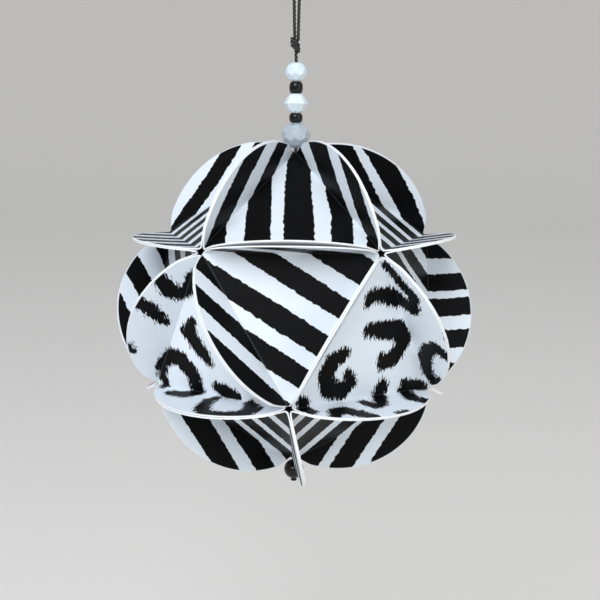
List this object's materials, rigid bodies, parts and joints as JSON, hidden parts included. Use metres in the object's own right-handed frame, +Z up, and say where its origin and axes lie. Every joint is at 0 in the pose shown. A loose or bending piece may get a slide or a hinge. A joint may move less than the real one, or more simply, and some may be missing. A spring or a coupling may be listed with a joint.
{
  "type": "kusudama paper ball",
  "caption": "Hanging ornament ball of folded printed card circles glued fin to fin, on a beaded cord with a knotted loop.",
  "frame": {"origin": "the point inside the top of the hanging loop where a hook bears", "axes": "+Z up along the cord, away from the ball; -Y is the side that the picture shows"},
  "size_m": [0.108, 0.1043, 0.1799],
  "materials": {
    "printed_card": "matte",
    "frosted_bead": "frosted, faceted",
    "black_bead": "glossy, opaque",
    "cord": "satin, twisted"
  },
  "bodies": {
    "root": {"belly_circle_1": "printed_card", "belly_circle_2": "printed_card", "belly_circle_3": "printed_card", "belly_circle_4": "printed_card", "belly_circle_5": "printed_card", "crown_circle_1": "printed_card", "crown_circle_2": "printed_card", "crown_circle_3": "printed_card", "crown_circle_4": "printed_card", "crown_circle_5": "printed_card", "foot_circle_1": "printed_card", "foot_circle_2": "printed_card", "foot_circle_3": "printed_card", "foot_circle_4": "printed_card", "foot_circle_5": "printed_card", "shoulder_circle_1": "printed_card", "shoulder_circle_2": "printed_card", "shoulder_circle_3": "printed_card", "shoulder_circle_4": "printed_card", "shoulder_circle_5": "printed_card", "large_frosted_bead": "frosted_bead", "middle_frosted_bead": "frosted_bead", "top_frosted_bead": "frosted_bead", "lower_black_bead": "black_bead", "upper_black_bead": "black_bead", "stopper_bead": "black_bead", "inner_cord": "cord", "hanging_loop": "cord", "loop_knot": "cord"}
  },
  "joints": []
}
